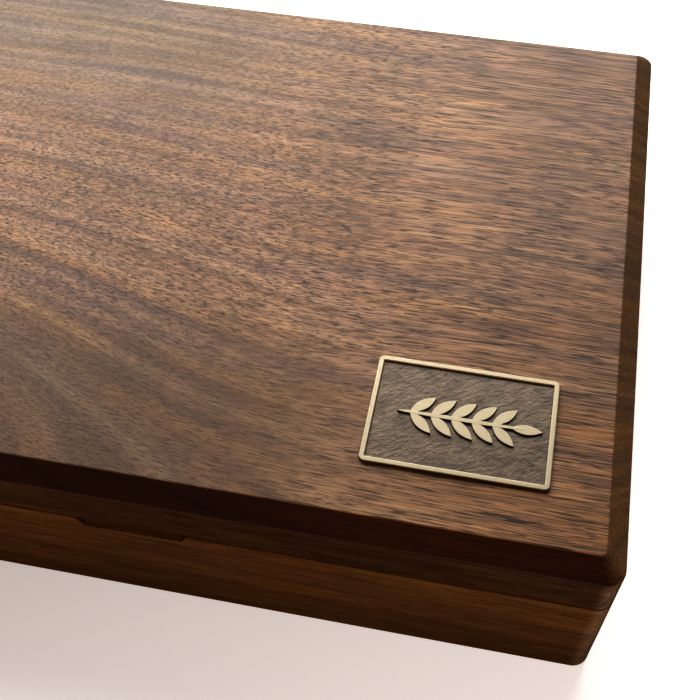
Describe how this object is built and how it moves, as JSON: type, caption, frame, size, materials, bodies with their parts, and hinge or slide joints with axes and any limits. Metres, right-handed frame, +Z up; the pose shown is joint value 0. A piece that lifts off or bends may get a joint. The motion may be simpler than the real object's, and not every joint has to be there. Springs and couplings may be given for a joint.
{
  "type": "hinged wooden keepsake box",
  "caption": "Low rectangular walnut box with mitred rounded corners, a bevelled hinged lid, a finger notch in the front and a small cast plaque on the lid.",
  "frame": {"origin": "middle of the underside", "axes": "+X along the front towards the viewer's right, +Y from the front to the hinged back, +Z up"},
  "size_m": [0.255, 0.2, 0.061],
  "materials": {
    "base_walnut": "satin oiled walnut",
    "lid_walnut": "satin oiled walnut",
    "panel_walnut": "satin oiled walnut",
    "floor_ply": "plain thin board",
    "hinge_brass": "satin brass",
    "screw_brass": "bright brass",
    "felt": "dark felt",
    "tape": "adhesive film",
    "plaque_bronze": "cast, dark patina with a polished rim"
  },
  "bodies": {
    "base": {"base_front_wall": "base_walnut", "base_back_wall": "base_walnut", "base_left_wall": "base_walnut", "base_right_wall": "base_walnut", "base_floor_panel": "floor_ply", "floor_felt": "felt", "hinge_left_base_leaf": "hinge_brass", "hinge_right_base_leaf": "hinge_brass", "hinge_left_pin": "hinge_brass", "hinge_right_pin": "hinge_brass", "base_hinge_screws": "screw_brass"},
    "lid": {"lid_front_rail": "lid_walnut", "lid_back_rail": "lid_walnut", "lid_left_rail": "lid_walnut", "lid_right_rail": "lid_walnut", "lid_top_panel": "panel_walnut", "hinge_left_lid_leaf": "hinge_brass", "hinge_right_lid_leaf": "hinge_brass", "lid_hinge_screws": "screw_brass", "plaque_tape": "tape", "plaque": "plaque_bronze"}
  },
  "joints": [
    {"name": "lid_hinge", "type": "hinge", "parent": "base", "child": "lid", "pos_m": [0, 0.0965, 0.0405], "axis": [-1, 0, 0], "range_deg": [0, 95]}
  ]
}
